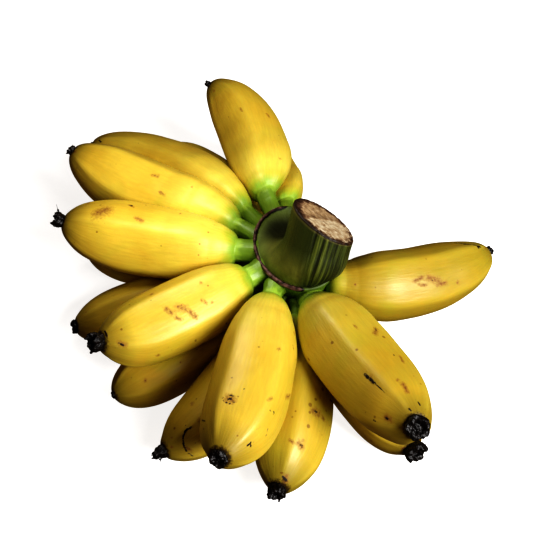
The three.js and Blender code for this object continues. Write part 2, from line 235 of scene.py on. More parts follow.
# Each banana takes its form from its solid: twenty points round and a ring of them at each step along.
# The skin between them is smoothed, then its ridges, its lumps and its swollen foot are pressed into it.
FACES_ROUND = 5
WELD_REACH = 0.001 * MM
NECK_RING = 3  # of the solid's rings, where the pedicel ends
SHOULDER_RING = 8  # where the fruit is at its full girth
BELLY_RINGS = range(6, 12)  # whose five faces tell where the ridges are
SKIN_LEVELS = 3
WHOLE_RING = 20  # vertices: rings of the smoothed skin with fewer are strays between the whole ones
PEDICEL_SHARE = 0.8  # of the pedicel's solid, which is thick for its collision
PLUMPNESS = 1.035  # makes good what the smoothing takes off the solid
SHOULDER_ROUND = 1.65  # the power of the shoulder's curve, 2 being a quarter circle
RIDGE_HEIGHT = 0.45 * MM
RIDGE_WIDTH = math.radians(10)
PEDICEL_RIDGE = 0.16 * MM
PEDICEL_HOLLOW = 0.4  # of that height lies below the pedicel's own surface
LUMP_HEIGHT = 0.35 * MM
LUMP_SIZE = 14 * MM
FOOT_SWELL = 1.2 * MM
FOOT_AT = 7 * MM
FOOT_REACH = 2.6 * MM
TIP_REACH = {
    "front_upper": 1.75, "front_lower": 2.6, "front_right_upper": 3.0, "left_back_lower": 4.5,
    "left_upper": 1.2, "right_upper": 1.0, "back_upper": 0.85, "front_low_left": 0.8,
}  # millimetres that the flesh reaches past the solid's end, into the flower's solid
NECK_OUT = {
    "left_upper": 3.2, "left_back_upper": 3.4, "left_back_lower": 4, "back_left_lower": 4,
    "back_upper": 6.5, "back_lower": 6, "left_front_upper": 3.4, "front_upper": 1.6,
    "front_right_upper": 1.8, "right_upper": -2.5,
}  # millimetres that the pedicel runs on past the solid's neck
NECK_OUT_ELSE = 2  # where none is given
SHIFTS = {
    "left_back_lower": (-1.1, 0.9, 0.6), "right_upper": (-0.2, -0.8, -0.4),
    "front_right_lower": (-2.0, -0.6, 0), "front_right_upper": (-0.4, -0.8, 0),
}  # millimetres that a fruit lies off its solid, but for its root
ROOT_LIFTS = {"front_lower": 5.5, "front_right_upper": 0.5}  # millimetres that a pedicel rises
ROOT_LIFT_UPPER = 1.5  # and so much for the rest of the upper row, towards the rim of the crown

# Where along a banana each of these changes, as shares of its length from the root or from the neck.
ROOT_END = 0.012  # the end of the root stays within the crown
LIFT_FROM_ROOT = (0.03, 0.1)
LIFT_PAST_NECK = (-0.02, 0.12)
RIDGED_FROM_ROOT = (0.02, 0.05)
RIDGED_PAST_NECK = (-0.01, 0.05)
SHIFTED_AT = 0.5
STRETCHED = (0.5, 0.97)
RIDGES_FADE = (0.93, 1)
UP = Vector((0, 0, 1))
crown_low, crown_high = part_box("crown")
crown_middle = (crown_low + crown_high) / 2


def rings_of(bm):
    """The vertices of a banana's coarse skin in rings, from the middle of its root to that of its tip."""
    bm.verts.ensure_lookup_table()
    poles = sorted(bm.verts, key=lambda v: -len(v.link_edges))[:2]
    root = min(poles, key=lambda v: (v.co - crown_middle).length)
    rings = [[root]]
    seen = {root}
    while rings[-1]:
        following = []
        for vert in rings[-1]:
            for edge in vert.link_edges:
                other = edge.other_vert(vert)
                if other not in seen:
                    seen.add(other)
                    following.append(other)
        rings.append(following)
    return rings[:-1]


def cross_frame(before, after):
    """Two directions across a banana: one stays level, and the other points down."""
    tangent = (after - before).normalized()
    level = tangent.cross(UP).normalized()
    return level, tangent.cross(level).normalized()


def coarse_skin(node):
    """A banana's coarse skin in quads, with how far along and which way round each vertex is. With it come
    its length, the turn of its ridges, the middle and direction of its tip, and where its neck and its
    shoulder are."""
    bm = bmesh.new()
    bm.from_mesh(node.data)
    bmesh.ops.remove_doubles(bm, verts=bm.verts, dist=WELD_REACH)
    along_layer = bm.verts.layers.float.new("along")
    skin_layer = bm.verts.layers.float_vector.new("skin")
    rings = rings_of(bm)
    middles = [sum((v.co for v in ring), Vector()) / len(ring) for ring in rings]
    travelled = [0]
    for before, after in zip(middles, middles[1:]):
        travelled.append(travelled[-1] + (after - before).length)
    length = travelled[-1]
    turns = {}
    fivefold = 0
    for count, ring in enumerate(rings):
        before = middles[max(count - 1, 0)]
        after = middles[min(count + 1, len(middles) - 1)]
        level, below = cross_frame(before, after)
        for vert in ring:
            out = vert.co - middles[count]
            turn = math.atan2(out.dot(below), out.dot(level))
            turns[vert] = turn
            vert[along_layer] = travelled[count] / length
            vert[skin_layer] = (math.cos(turn), math.sin(turn), travelled[count] / MM)
            if count in BELLY_RINGS:
                fivefold += out.length * complex(math.cos(FACES_ROUND * turn), -math.sin(FACES_ROUND * turn))
    diagonals = []
    for ring, following in zip(rings[1:-2], rings[2:-1]):
        inside = set(following)
        for vert in ring:
            onward = [e for e in vert.link_edges if e.other_vert(vert) in inside]
            onward.sort(key=lambda e: math.cos(turns[e.other_vert(vert)] - turns[vert]))
            if len(onward) > 1:
                diagonals.append(onward[0])
    bmesh.ops.dissolve_edges(bm, edges=diagonals, use_verts=False)
    ridge_turn = -math.atan2(fivefold.imag, fivefold.real) / FACES_ROUND
    tip = (middles[-2], (middles[-2] - middles[-3]).normalized())
    neck = travelled[NECK_RING] / length
    shoulder = travelled[SHOULDER_RING] / length
    mesh = bpy.data.meshes.new(node.name)
    bm.to_mesh(mesh)
    bm.free()
    return mesh, length, ridge_turn, tip, (neck, shoulder)


def smoothed(mesh, levels):
    """The mesh after that many levels of subdivision."""
    obj = bpy.data.objects.new("smoothing", mesh)
    bpy.context.scene.collection.objects.link(obj)
    subdivision = obj.modifiers.new("subdivision", "SUBSURF")
    subdivision.levels = levels
    subdivision.render_levels = levels
    bpy.context.view_layer.update()
    dense = bpy.data.meshes.new_from_object(obj.evaluated_get(bpy.context.evaluated_depsgraph_get()))
    bpy.data.objects.remove(obj)
    bpy.data.meshes.remove(mesh)
    return dense


def read(mesh, name, width):
    """An attribute of the mesh, or its coordinates or normals, as an array."""
    values = np.zeros(len(mesh.vertices) * width)
    if name in ("co", "normal"):
        mesh.vertices.foreach_get(name, values)
    else:
        mesh.attributes[name].data.foreach_get("value" if width == 1 else "vector", values)
    return values.reshape(-1, width) if width > 1 else values


def store_values(mesh, name, values):
    """Writes one number on each vertex, over those of an attribute that the mesh has."""
    mesh.attributes[name].data.foreach_set("value", values)


def store(mesh, name, values):
    """Puts one number on each vertex, for a material."""
    mesh.attributes.new(name, "FLOAT", "POINT")
    store_values(mesh, name, values)


def noise_at(points, size, seed=0):
    """Noise between -1 and 1 at each point, with lumps of the size given."""
    offset = Vector((seed * 7.3, seed * 3.1, seed * 5.7))
    return np.array([noise.noise(Vector(p) / size + offset) for p in points])


def smoothstep(low, high, values):
    """0 below low, 1 above high, and a smooth rise between them."""
    share = np.clip((values - low) / (high - low), 0, 1)
    return share * share * (3 - 2 * share)


def rounded_shoulder(points, share, neck, shoulder):
    """The skin with a slim pedicel that ends at the neck, and a blunt round shoulder from there."""
    rings, ring = np.unique(np.round(share, 6), return_inverse=True)
    count = np.bincount(ring)
    whole = count >= WHOLE_RING
    whole[[0, -1]] = True

    def mean_along(values):
        return np.interp(share, rings[whole], (np.bincount(ring, weights=values) / count)[whole])

    middle = np.stack([mean_along(points[:, axis]) for axis in range(3)], axis=1)
    out = points - middle
    radius = mean_along(np.linalg.norm(out, axis=1))
    slim = PEDICEL_SHARE * np.interp(neck, share[share.argsort()], radius[share.argsort()])
    full = PLUMPNESS * np.interp(shoulder, share[share.argsort()], radius[share.argsort()])
    step = np.clip((share - neck) / (shoulder - neck), 0, 1)
    dome = (1 - (1 - step) ** SHOULDER_ROUND) ** (1 / SHOULDER_ROUND)
    wanted = np.where(share < shoulder, slim + (full - slim) * dome, radius * PLUMPNESS)
    wanted = np.where(share < ROOT_END, radius, wanted)
    return middle + out * (wanted / np.maximum(radius, 1e-9))[:, None]


def banana(node, where):
    """A banana's visible skin, made from its solid."""
    coarse, length, ridge_turn, (tip, tip_way), (neck, shoulder) = coarse_skin(node)
    mesh = smoothed(coarse, SKIN_LEVELS)
    share = read(mesh, "along", 1)
    neck += NECK_OUT.get(where, NECK_OUT_ELSE) * MM / length
    points = rounded_shoulder(read(mesh, "co", 3), share, neck, shoulder)
    past_neck = share - neck
    shift = np.array(SHIFTS.get(where, (0, 0, 0))) * MM
    points += shift * smoothstep(neck, SHIFTED_AT, share)[:, None]
    lifted = smoothstep(*LIFT_FROM_ROOT, share) * (1 - smoothstep(*LIFT_PAST_NECK, past_neck))
    points[:, 2] += ROOT_LIFTS.get(where, ROOT_LIFT_UPPER * where.endswith("upper")) * MM * lifted
    reach = TIP_REACH.get(where, 0) * MM
    points += np.array(tip_way) * (reach * smoothstep(*STRETCHED, share))[:, None]
    mesh.vertices.foreach_set("co", points.ravel())
    mesh.update()
    normals = read(mesh, "normal", 3)
    skin_place = read(mesh, "skin", 3)
    turn = np.arctan2(skin_place[:, 1], skin_place[:, 0])
    face = 2 * math.pi / FACES_ROUND
    from_ridge = (turn - ridge_turn + face / 2) % face - face / 2
    on_ridge = np.exp(-(from_ridge / RIDGE_WIDTH) ** 2)
    body = smoothstep(neck, shoulder, share) * (1 - smoothstep(*RIDGES_FADE, share))
    pedicel = smoothstep(*RIDGED_FROM_ROOT, share) * (1 - smoothstep(*RIDGED_PAST_NECK, past_neck))
    rise = RIDGE_HEIGHT * on_ridge * body
    rise += PEDICEL_RIDGE * (on_ridge - PEDICEL_HOLLOW) * pedicel
    rise += LUMP_HEIGHT * noise_at(points, LUMP_SIZE) * smoothstep(neck, shoulder, share)
    rise += FOOT_SWELL * np.exp(-((share * length - FOOT_AT) / FOOT_REACH) ** 2)
    moved = points + normals * rise[:, None]
    moved[:, 2] = np.maximum(moved[:, 2], 0)  # the lower row rests on the table
    mesh.vertices.foreach_set("co", moved.ravel())
    store(mesh, "ridge", on_ridge * body)
    store(mesh, "past_neck", past_neck * length / MM)
    store(mesh, "to_tip", (1 - share) * length / MM)
    store(mesh, "russet", np.zeros(len(points)))
    store(mesh, "scratch", np.zeros(len(points)))
    mesh.shade_smooth()
    mesh.materials.clear()
    mesh.materials.append(peel)
    obj = bpy.data.objects.new(node.name.replace("banana", "fruit"), mesh)
    bpy.context.scene.collection.objects.link(obj)
    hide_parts(node.name)
    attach(obj, "root")
    return obj, (tip + tip_way * reach + Vector(shift), tip_way)


fruits = {}
tips = {}
for name, node in sorted(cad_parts.items()):
    if name.startswith("banana_"):
        where = name.removeprefix("banana_")
        fruits[where], tips[where] = banana(node, where)


# Marks on the peel, each where the photograph shows it: a line between two of its pixels, and how far the
# mark reaches from the line, in millimetres. Freckles and age spots lie anywhere, by a seeded draw.
RUSSET_PATCHES = [
    ((99, 213), (106, 210), 3.1), ((136, 218), (142, 221), 1.1),
    ((152, 175), (158, 176), 0.9), ((160, 192), (164, 195), 0.8), ((166, 309), (172, 313), 1.1),
    ((178, 307), (186, 309), 1.5), ((190, 312), (196, 317), 1.2), ((176, 318), (182, 320), 0.8),
    ((202, 300), (206, 303), 0.7), ((228, 398), (232, 400), 1.7), ((200, 420), (206, 421), 1.1),
    ((286, 397), (290, 396), 1.0), ((268, 400), (272, 398), 0.6), ((314, 411), (318, 414), 1.7),
    ((322, 417), (324, 420), 0.8), ((299, 444), (302, 447), 1.3), ((290, 440), (293, 442), 0.7),
    ((286, 476), (285, 482), 1.2), ((376, 329), (375, 334), 1.1), ((386, 417), (390, 420), 1.2),
    ((415, 281), (423, 277), 1.1), ((428, 278), (440, 281), 1.5), ((437, 285), (446, 283), 1.0),
    ((419, 285), (426, 285), 0.7), ((403, 384), (407, 391), 1.0), ((400, 356), (403, 362), 0.7),
    ((256, 84), (261, 87), 1.0), ((267, 114), (269, 117), 0.8), ((120, 343), (125, 345), 1.2),
    ((240, 108), (242, 111), 0.6), ((129, 205), (133, 207), 0.7), ((354, 325), (357, 328), 0.6),
    ((185, 447), (190, 450), 0.9),
]
SCRATCHES = [
    ((257, 84), (260, 86), 0.32), ((99, 140), (101, 142), 0.4), ((131, 205), (132, 206), 0.4),
    ((365, 374), (374, 383), 0.5), ((374, 383), (385, 392), 0.2), ((455, 243), (466, 244), 0.35),
    ((464, 244), (480, 247), 0.5), ((478, 247), (490, 251), 0.8), ((191, 427), (185, 431), 0.4),
    ((185, 431), (183, 438), 0.3), ((183, 438), (184, 447), 0.34), ((184, 447), (188, 453), 0.3),
    ((188, 453), (193, 456), 0.24), ((262, 420), (265, 424), 0.18), ((256, 430), (262, 426), 0.16),
    ((247, 446), (252, 441), 0.2), ((268, 428), (266, 436), 0.16),
    ((222, 399), (226, 396), 0.2), ((226, 396), (232, 395), 0.22), ((232, 395), (236, 398), 0.2),
    ((223, 401), (228, 404), 0.2), ((228, 404), (235, 402), 0.2), ((228, 399), (231, 399), 0.4),
    ((270, 410), (275, 413), 0.24), ((275, 413), (280, 420), 0.18), ((249, 444), (251, 446), 0.35),
    ((287, 397), (290, 396), 0.24), ((202, 420), (205, 421), 0.26), ((315, 411), (317, 413), 0.5),
    ((300, 445), (302, 446), 0.4), ((331, 400), (332, 401), 0.35), ((375, 328), (376, 330), 0.3),
    ((394, 355), (395, 356), 0.32), ((374, 420), (375, 421), 0.35), ((386, 418), (388, 419), 0.32),
    ((283, 477), (286, 480), 0.5), ((119, 343), (123, 345), 0.36), ((105, 331), (107, 336), 0.35),
    ((181, 307), (183, 308), 0.26), ((192, 314), (194, 315), 0.26), ((171, 311), (172, 312), 0.2),
    ((432, 280), (435, 281), 0.2), ((244, 388), (245, 390), 0.2), ((150, 300), (151, 301), 0.2),
    ((418, 402), (420, 405), 0.3), ((409, 409), (411, 411), 0.26), ((268, 115), (269, 116), 0.26),
]
FRECKLED = {
    "front_lower": 0.9, "front_right_upper": 0.75, "left_front_upper": 0.75, "front_upper": 0.6,
    "front_low_left": 0.7, "right_upper": 0.5, "left_upper": 0.5, "left_back_upper": 0.35,
}  # how freckled a fruit is
FRECKLED_ELSE = 0.4  # where none is given
FRECKLES_BEGIN = (3, 12)  # millimetres past the neck
DULL_GOLD_SHARES = {
    "right_upper": 0.9, "front_right_upper": 0.45, "front_lower": 0.4, "front_low_left": 0.3,
    "front_left_lower": 0.6, "back_left_lower": 0.6, "front_upper": 0.1,
}  # how far a fruit turns from lemon to a duller, darker gold, and 0 where none is given; on right_upper it is painted shade
AGE_SPOTS = 7  # small marks on each fruit, anywhere on it
AGE_SPOTS_FROM = 8  # millimetres past the neck
AGE_SPOT_REACHES = (0.35, 1.0)  # millimetres
RUSSET_PEAK = 0.75  # how strong a patch is in its middle
RUSSET_FALL = 0.3  # and how much weaker at its reach
SCRATCH_PEAK = 0.95
SCRATCH_FALL = 0.25


def seen_at(pixel):
    """The fruit, and the point on it, that the photograph shows at a pixel."""
    ray = line_of_sight(pixel)
    hits = []
    for where, fruit in fruits.items():
        found, point, _, _ = fruit.ray_cast(camera_at, ray)
        if found:
            hits.append(((point - camera_at).length, where, point))
    return min(hits)[1:] if hits else (None, None)


def distance_to_line(points, start, end):
    """How far each point is from the line between two others."""
    reach = end - start
    share = np.clip((points - start) @ reach / max(reach @ reach, 1e-12), 0, 1)
    return np.linalg.norm(points - start - share[:, None] * reach, axis=1)


def paint_marks(attribute, marks, peak, fall):
    """Writes how near each point of the peel is to the middle of a mark."""
    for first, last, reach in marks:
        where, start = seen_at(first)
        other, end = seen_at(last)
        if where is None:
            continue
        mesh = fruits[where].data
        start = np.array(start)
        end = np.array(end) if other == where else start
        field = read(mesh, attribute, 1)
        away = distance_to_line(read(mesh, "co", 3), start, end) / (reach * MM)
        np.maximum(field, peak - fall * away, out=field)
        store_values(mesh, attribute, field)


bpy.context.view_layer.update()
paint_marks("russet", RUSSET_PATCHES, RUSSET_PEAK, RUSSET_FALL)
paint_marks("scratch", SCRATCHES, SCRATCH_PEAK, SCRATCH_FALL)
for where, fruit in fruits.items():
    mesh = fruit.data
    points = read(mesh, "co", 3)
    past_neck_mm = read(mesh, "past_neck", 1)
    freckling = FRECKLED.get(where, FRECKLED_ELSE) * smoothstep(*FRECKLES_BEGIN, past_neck_mm)
    store(mesh, "freckled", freckling)
    store(mesh, "dull_gold", np.full(len(points), DULL_GOLD_SHARES.get(where, 0)))
    luck = random.Random(where + " spots")
    spots = read(mesh, "russet", 1)
    for _ in range(AGE_SPOTS):
        chosen = luck.choice(np.flatnonzero(past_neck_mm > AGE_SPOTS_FROM).tolist())
        reach = luck.uniform(*AGE_SPOT_REACHES) * MM
        away = np.linalg.norm(points - points[chosen], axis=1) / reach
        np.maximum(spots, RUSSET_PEAK - RUSSET_FALL * away, out=spots)
    store_values(mesh, "russet", spots)


# What is left of the flower at the tip of each banana: a short crumpled cup, dried black, with a frayed
# lip and a stub of the pistil in its middle. Some still have shreds of the petals.
FLOWER_SIDES = 32
FLOWER_PROFILE = [
    (-0.25, 0.85), (0, 1), (0.3, 1.02), (0.6, 0.98), (0.85, 0.9), (1, 0.74), (0.96, 0.55), (0.62, 0.42),
    (0.36, 0.3), (0.5, 0.16), (0.62, 0.06),
]  # shares of its length and of its radius, up the outside, over the lip and down inside to the pistil
FLOWER_FOLDS = 5
FLOWER_FOLD = 0.13  # a share of the radius, at the lip
FLOWER_FRAY = 0.5  # a share of the length, at the lip
FRAY_LOBES = 1.6
FLOWER_LEVELS = 2
CRUMPLE = 0.5 * MM
CRUMPLE_SIZE = 1.5 * MM
CHAR_SIZE = 1.1111 * MM
SHRED_SIDES = 5
SHRED_POINT = 0.1  # millimetres
SHRED_ROOT = (0.5, 0.7)  # shares of the flower's length and radius
SHRED_LEAN = 0.5
FLOWERS = {
    "back_upper": (1.8, 2.2, 0.8), "back_lower": (2.8, 3.0, 1), "back_left_lower": (2.6, 2.6, 1),
    "left_back_lower": (1.8, 1.4, 0.9), "left_back_upper": (2.5, 2.0, 0.95), "left_upper": (3.2, 4.4, 1.2),
    "left_lower": (2.8, 2.6, 1), "left_front_lower": (3.3, 1.6, 1), "left_front_upper": (3.7, 5.0, 1.25),
    "front_left_lower": (1.7, 0.8, 0.8), "front_low_left": (3.1, 5.2, 0.5), "front_upper": (3.8, 2.0, 1.05),
    "front_lower": (3.7, 4.2, 1.1), "front_right_upper": (4.5, 2.6, 1.15),
    "front_right_lower": (4.3, 4.0, 1.35), "right_upper": (2.2, 2.0, 1),
}  # radius and length in millimetres, and how much wider the lip is than the foot
SHREDS = {
    "left_upper": [(75, 6.5, 0.6), (110, 2.4, 0.9), (250, 2.4, 1.1), (200, 2.0, 1.0)],
    "front_lower": [(250, 2.6, 1.1), (300, 2.2, 1.0), (195, 2.0, 0.9), (330, 2.4, 0.7)],
    "left_front_lower": [(280, 1.6, 0.7)],
    "front_right_lower": [(190, 3.4, 1.3), (235, 2.4, 1.2), (300, 2.4, 1.1), (20, 2.6, 0.9), (345, 2.2, 1.0)],
    "front_right_upper": [(240, 1.6, 1.2), (330, 1.6, 1.1)],
    "front_low_left": [(200, 1.8, 1.0)],
    "left_front_upper": [(255, 3.2, 1.4), (215, 2.2, 1.2), (120, 1.8, 1.0)],
    "back_left_lower": [(120, 2.0, 0.8)],
    "left_lower": [(180, 2.0, 0.7)],
    "left_back_upper": [(230, 1.6, 0.9), (60, 1.4, 0.8)],
    "front_upper": [(285, 1.4, 1.2), (235, 1.2, 1.1)],
    "right_upper": [(330, 1.4, 0.7), (40, 1.4, 0.7), (290, 1.4, 0.6)],
}  # bearing about the tip in degrees, length and thickness in millimetres

# Dried flower is papery and nearly black, grey where it is frayed, with a dull sheen on its folds.
flower_material, tree, shader = new_material("dried_banana_flower")
place = add(tree, "TexCoord", {}).outputs["Object"]
char = add(tree, "TexNoise", {"Vector": place, "Scale": 1 / CHAR_SIZE, "Detail": 5,
                              "Roughness": 0.65}).outputs["Fac"]
char_colour = add(tree, "ValToRGB", {"Fac": char}, stops=(
    (0.35, srgb(0x080606)), (0.8, srgb(0x5A5254)), (0.5, srgb(0x14100F)), (0.62, srgb(0x241D1B)),
)).outputs["Color"]
tree.links.new(char_colour, shader.inputs["Base Color"])
char_bump = add(tree, "Bump", {"Height": char, "Strength": 0.6, "Distance": 0.4 * MM}).outputs[0]
tree.links.new(char_bump, shader.inputs["Normal"])
shader.inputs["Roughness"].default_value = 0.42


def extruded_ring(bm, ring):
    """The vertices of a new ring, in the same order as the last one's, and joined to it by faces."""
    edges = [bm.edges.get((a, b)) for a, b in zip(ring, ring[1:] + ring[:1])]
    made = bmesh.ops.extrude_edge_only(bm, edges=edges)["geom"]
    fresh = {v for v in made if isinstance(v, bmesh.types.BMVert)}
    return [next(e.other_vert(v) for e in v.link_edges if e.other_vert(v) in fresh) for v in ring]


def dried_flower(where):
    """The flower's remains at a banana's tip."""
    middle, outwards = tips[where]
    radius, length, flare = FLOWERS[where]
    luck = random.Random(where)
    level = outwards.cross(UP).normalized()
    below = outwards.cross(level).normalized()
    phase = luck.uniform(0, 2 * math.pi)
    bm = bmesh.new()
    ring = bmesh.ops.create_circle(bm, segments=FLOWER_SIDES, radius=1)["verts"]
    angles = [math.atan2(v.co.y, v.co.x) for v in ring]
    bm.faces.new(ring)
    for count, (reach, width) in enumerate(FLOWER_PROFILE):
        if count:
            ring = extruded_ring(bm, ring)
        lip = max(reach, 0)
        for vert, angle in zip(ring, angles):
            fold = 1 + FLOWER_FOLD * lip * math.cos(FLOWER_FOLDS * angle + phase)
            lobe = Vector((FRAY_LOBES * math.cos(angle), FRAY_LOBES * math.sin(angle), phase))
            fray = 1 + FLOWER_FRAY * lip * noise.noise(lobe)
            side = level * math.cos(angle) + below * math.sin(angle)
            spread = radius * width * fold * (1 + (flare - 1) * lip)
            vert.co = middle + (outwards * (length * reach * fray) + side * spread) * MM
    bm.faces.new(ring)
    for bearing, shred_length, thickness in SHREDS.get(where, []):
        turn = math.radians(bearing)
        side = level * math.cos(turn) - below * math.sin(turn)
        lean = (outwards * SHRED_LEAN + side).normalized()
        root = middle + (outwards * (length * SHRED_ROOT[0]) + side * (radius * SHRED_ROOT[1])) * MM
        shred = bmesh.ops.create_cone(
            bm, cap_ends=True, segments=SHRED_SIDES, radius1=thickness * MM, radius2=SHRED_POINT * MM,
            depth=shred_length * MM)
        placed = Matrix.Translation(root) @ lean.to_track_quat("Z", "Y").to_matrix().to_4x4()
        placed @= Matrix.Translation((0, 0, shred_length * MM / 2))
        bmesh.ops.transform(bm, matrix=placed, verts=shred["verts"])
        shred_edges = list(dict.fromkeys(e for v in shred["verts"] for e in v.link_edges))
        bmesh.ops.subdivide_edges(bm, edges=shred_edges, cuts=1, use_grid_fill=True)
    bmesh.ops.recalc_face_normals(bm, faces=bm.faces)
    coarse = bpy.data.meshes.new("flower")
    bm.to_mesh(coarse)
    bm.free()
    mesh = smoothed(coarse, FLOWER_LEVELS)
    points = read(mesh, "co", 3)
    crumpled = CRUMPLE * (noise_at(points, CRUMPLE_SIZE) + 0.5 * noise_at(points, CRUMPLE_SIZE / 2, 1))
    moved = points + read(mesh, "normal", 3) * crumpled[:, None]
    mesh.vertices.foreach_set("co", moved.ravel())
    mesh.shade_smooth()
    mesh.materials.clear()
    mesh.materials.append(flower_material)
    obj = bpy.data.objects.new(f"flower_{where}", mesh)
    bpy.context.scene.collection.objects.link(obj)
    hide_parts(f"blossom_end_{where}")
    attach(obj, "root")


for where in sorted(fruits):
    dried_flower(where)


# The crown is the green cushion that the pedicels grow from, with the stump of the bunch's stalk on it.
# The rim is a corky brown ridge where the bract fell. The stalk is ribbed with long fibres, and its sawn
# face has dried to tan with a dark curled edge.
CROWN_CENTRE = Vector((10.4, -5.85, 50)) * MM
CROWN_HALF_WIDTH = 19.5 * MM
CROWN_HALF_DEPTH = 25.5 * MM
CROWN_SPREAD = 2.5 * MM  # how much deeper from front to back it is below the rim than at it
SPREAD_DEPTH = 8  # millimetres below the rim
CROWN_TURN = math.radians(18)  # its long way points to the back left
CROWN_TILT = 0.06  # it rises a little towards the back
UNDERSIDE = [(0, 0), (0.4, 0.3), (0.8, 0.7)]  # zone, and share of the way up to the side
CROWN_SIDE = [
    (0.72, 22), (0.76, 18), (0.8, 12), (0.84, 8), (0.9, 4.5), (0.94, 2.4), (0.965, 1.5), (0.995, 0.7),
    (0.99, -0.4), (0.955, -0.5), (0.925, 0.4),
]  # share of the rim, and millimetres below it
STALK_FOOT = Vector((16.2, -19.85, 50)) * MM
STALK_LEAN = Vector((0.23, 0.4, 0.89)).normalized()
STALK_RADIUS = 15 * MM
STALK_FLARE = 1.5 * MM  # how much thicker it is at its foot
STALK_STRAIGHT = 13 * MM  # above its foot
STALK_LENGTH = 24 * MM  # to the middle of the sawn face
SAWN_NORMAL = Vector((0.535, 0.287, 0.793)).normalized()
UNDERSIDE_CENTRE = Vector((10.2, -11.85, 13)) * MM
UNDERSIDE_RADIUS = 12 * MM
CROWN_SEGMENTS = 64
CROWN_LEVELS = 2
PAD_STEPS = 9
STALK_STEPS = 6
FACE_SHARES = [0.985, 0.95, 0.88, 0.78, 0.64, 0.48, 0.32, 0.16, 0.05]  # from the face's edge inwards
stalk_side = (Vector((1, 0, 0)) - STALK_LEAN * STALK_LEAN.x).normalized()
stalk_back = STALK_LEAN.cross(stalk_side)
sawn_middle = STALK_FOOT + STALK_LEAN * STALK_LENGTH


def crown_side(turn, share, depth):
    """A point of the crown's side: its bearing, a share of the rim, and millimetres below it."""
    across = CROWN_HALF_WIDTH * share * math.cos(turn - CROWN_TURN)
    half_depth = CROWN_HALF_DEPTH + CROWN_SPREAD * min(max(depth, 0) / SPREAD_DEPTH, 1)
    back = half_depth * share * math.sin(turn - CROWN_TURN)
    cos, sin = math.cos(CROWN_TURN), math.sin(CROWN_TURN)
    x, y = across * cos - back * sin, across * sin + back * cos
    return CROWN_CENTRE + Vector((x, y, CROWN_TILT * y - depth * MM))


def stalk_point(turn, radius, height):
    """A point of the stalk, by its turn and height round and along the leaning axis."""
    side = stalk_side * math.cos(turn) + stalk_back * math.sin(turn)
    return STALK_FOOT + STALK_LEAN * height + side * radius


def stalk_up_to_cut(turn, share):
    """A point of the stalk's wall, from where it is straight at share 0 to the sawn face at share 1."""
    low = stalk_point(turn, STALK_RADIUS, STALK_STRAIGHT)
    to_cut = (sawn_middle - low).dot(SAWN_NORMAL) / STALK_LEAN.dot(SAWN_NORMAL)
    return low + STALK_LEAN * (to_cut * share)


def pad_point(turn, share):
    """The pad sweeps from the rim in to the stalk and up it."""
    edge = crown_side(turn, CROWN_SIDE[-1][0], CROWN_SIDE[-1][1])
    foot = stalk_point(turn, STALK_RADIUS + STALK_FLARE, 1 * MM)
    wall = stalk_point(turn, STALK_RADIUS, STALK_STRAIGHT)
    return edge.lerp(foot, share).lerp(foot.lerp(wall, share), share)


def underside_point(turn, share):
    """The cut underside, and the waist between it and the lower row of pedicels."""
    low = UNDERSIDE_CENTRE + Vector((math.cos(turn), math.sin(turn), 0)) * UNDERSIDE_RADIUS
    return low.lerp(crown_side(turn, CROWN_SIDE[0][0], CROWN_SIDE[0][1]), share)


# Each ring of the crown has a zone: 0 to 1 the underside, to 2 the side, to 3 the rim ridge, to 4 the
# pad, to 5 the stalk's wall, and to 6 the sawn face. Its relief and its colours go by the zones.
crown_rings = [(zone, lambda t, s=share: underside_point(t, s)) for zone, share in UNDERSIDE]
for count, (share, depth) in enumerate(CROWN_SIDE):
    zone = 1 + 2 * count / (len(CROWN_SIDE) - 1)
    crown_rings.append((zone, lambda t, s=share, d=depth: crown_side(t, s, d)))
for count in range(1, PAD_STEPS):
    crown_rings.append((3 + count / PAD_STEPS, lambda t, s=count / PAD_STEPS: pad_point(t, s)))
for count in range(STALK_STEPS + 1):
    crown_rings.append((4 + count / STALK_STEPS, lambda t, s=count / STALK_STEPS: stalk_up_to_cut(t, s)))
for share in FACE_SHARES:
    crown_rings.append((6 - share, lambda t, s=share: sawn_middle.lerp(stalk_up_to_cut(t, 1), s)))

bm = bmesh.new()
zone_layer = bm.verts.layers.float.new("zone")
ring = bmesh.ops.create_circle(bm, segments=CROWN_SEGMENTS, radius=1)["verts"]
angles = [math.atan2(v.co.y, v.co.x) for v in ring]
bm.faces.new(ring)
for count, (zone, point_at) in enumerate(crown_rings):
    if count:
        ring = extruded_ring(bm, ring)
    for vert, angle in zip(ring, angles):
        vert.co = point_at(angle)
        vert[zone_layer] = zone
bm.faces.new(ring)
bmesh.ops.recalc_face_normals(bm, faces=bm.faces)
coarse = bpy.data.meshes.new("crown")
bm.to_mesh(coarse)
bm.free()
crown_mesh = smoothed(coarse, CROWN_LEVELS)

FACE_ZONE = 5
FIBRE_DEPTH = 0.5 * MM
FIBRE_LEFT = 0.25  # of the fibres' depth, on the stalk's left, where they hardly show
FIBRE_GAP = 2.2 * MM
FIBRE_RUN = 45 * MM
FIBRED_RADIUS = (15.5 * MM, 19.5 * MM)  # between these the stalk's fibres run out into the smooth pad
FIBRED_ZONES = (2.9, 3.05)
SMOOTH_PAD_ZONES = (3.45, 4.1)
RIGHT_SIDE = (-0.55, -0.1)  # from how far towards the right the stalk is ribbed and striped; further left its wall is plain dark, partly painted shade
RIM_ZONE = 2.6
RIM_WIDTH = 0.34  # in zones
RIM_HEIGHT = 0.6 * MM
RIM_CORK = 0.07 * MM
CORK_LUMPS = (3.4 * MM, 1.1 * MM)
BRACT_FROM, BRACT_TO = math.radians(100), math.radians(276)
BRACT_FADE = math.radians(8)
PAD_LUMP = 0.25 * MM
PAD_LUMP_SIZE = 9 * MM
FACE_GRIT = 0.25 * MM
FACE_GRIT_SIZE = 1.3 * MM
CURL_HEIGHT = 0.5 * MM  # of the sawn face's dried edge
CURL_SHARE = 0.97  # of the face's radius
CURL_WIDTH = 0.04
